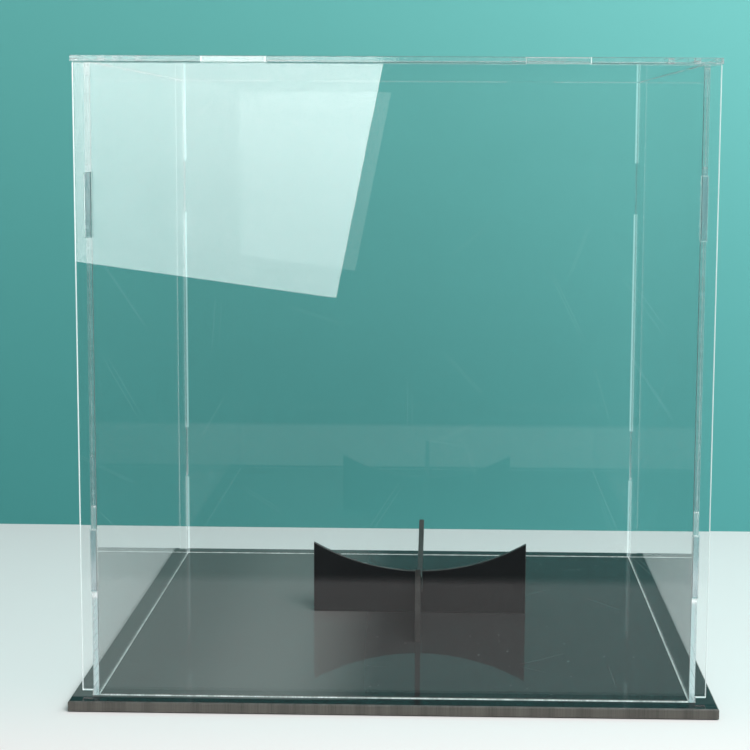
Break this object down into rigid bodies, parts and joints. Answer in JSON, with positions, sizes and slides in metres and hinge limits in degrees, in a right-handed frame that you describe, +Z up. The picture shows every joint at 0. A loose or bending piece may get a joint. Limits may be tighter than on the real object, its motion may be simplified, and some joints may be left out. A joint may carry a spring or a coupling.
{
  "type": "ball display case",
  "caption": "Free-standing clear cube case for showing one ball: a tab-and-slot panel cover that lifts off a grooved black base, with a crossed-plate ball stand inside.",
  "frame": {"origin": "middle of the base plate's underside, on the surface that the case stands on", "axes": "+Z up, -Y towards the front panel, +X to the right seen from the front"},
  "size_m": [0.31, 0.31, 0.31],
  "materials": {
    "clear_acrylic": "clear cast acrylic sheet, polished faces, laser-cut edges",
    "black_acrylic": "gloss black acrylic sheet with sawn edges"
  },
  "bodies": {
    "base": {"base_plate": "black_acrylic"},
    "cover": {"front_panel": "clear_acrylic", "back_panel": "clear_acrylic", "left_panel": "clear_acrylic", "right_panel": "clear_acrylic", "top_panel": "clear_acrylic"},
    "stand": {"stand_plate_across": "black_acrylic", "stand_plate_front_to_back": "black_acrylic"}
  },
  "joints": [
    {"name": "cover_lift", "type": "slide", "parent": "base", "child": "cover", "axis": [0, 0, 1], "range_m": [0, 0.33]},
    {"name": "stand_lift", "type": "slide", "parent": "base", "child": "stand", "axis": [0, 0, 1], "range_m": [0, 0.06]}
  ]
}
